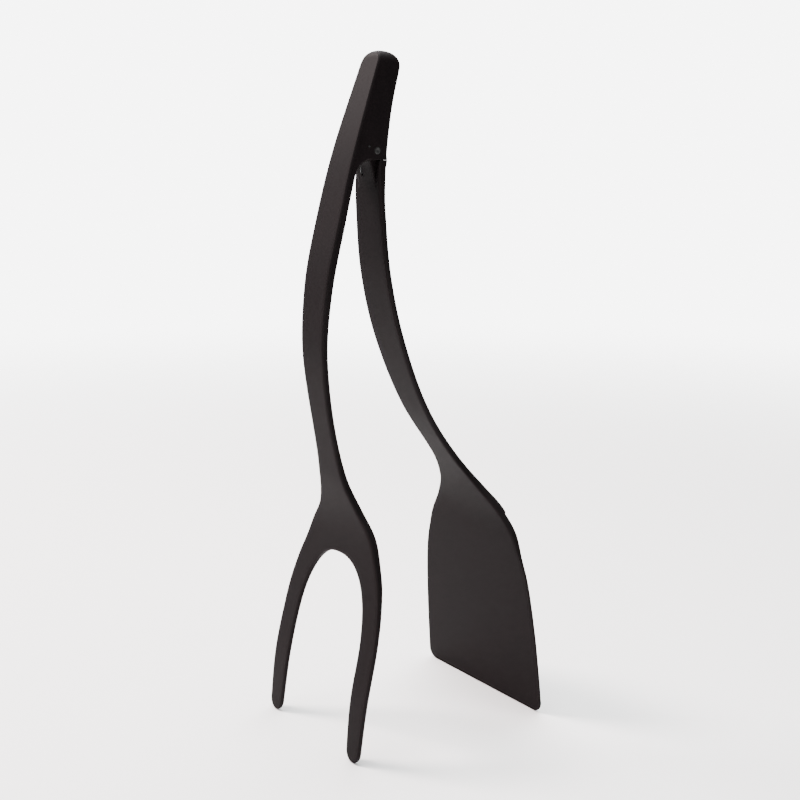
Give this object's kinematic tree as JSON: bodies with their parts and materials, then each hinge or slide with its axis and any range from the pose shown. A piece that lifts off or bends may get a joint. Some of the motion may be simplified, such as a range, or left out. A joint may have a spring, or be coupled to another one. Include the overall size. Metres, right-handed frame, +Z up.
{
  "type": "fork and turner kitchen tongs",
  "caption": "Sprung nylon hand tongs for gripping and flipping: one arm ends in a wide tined fork, the other in a flat turner blade.",
  "frame": {"origin": "centre of the open tongs' bounding box, on the plane that the tine tips and the blade's straight edge stand on", "axes": "+Z up towards the hinged head; +X from the fork arm towards the blade arm, the way the tongs open; +Y across, along the hinge axis"},
  "size_m": [0.0958, 0.0828, 0.287],
  "materials": {
    "black_nylon": "satin moulded nylon",
    "steel_pin": "dull dark steel",
    "spring_wire": "drawn spring wire"
  },
  "bodies": {
    "fork_side": {"fork_arm": "black_nylon", "hinge_pin": "steel_pin", "torsion_spring": "spring_wire"},
    "blade_side": {"spatula_arm": "black_nylon"}
  },
  "joints": [
    {"name": "arm_hinge", "type": "hinge", "parent": "fork_side", "child": "blade_side", "pos_m": [-0.0179, 0, 0.247], "axis": [0, 1, 0], "range_deg": [0, 21], "stiffness_Nm_per_rad": 0.35, "springref_deg": -17.19, "deforming": ["torsion_spring"]}
  ]
}
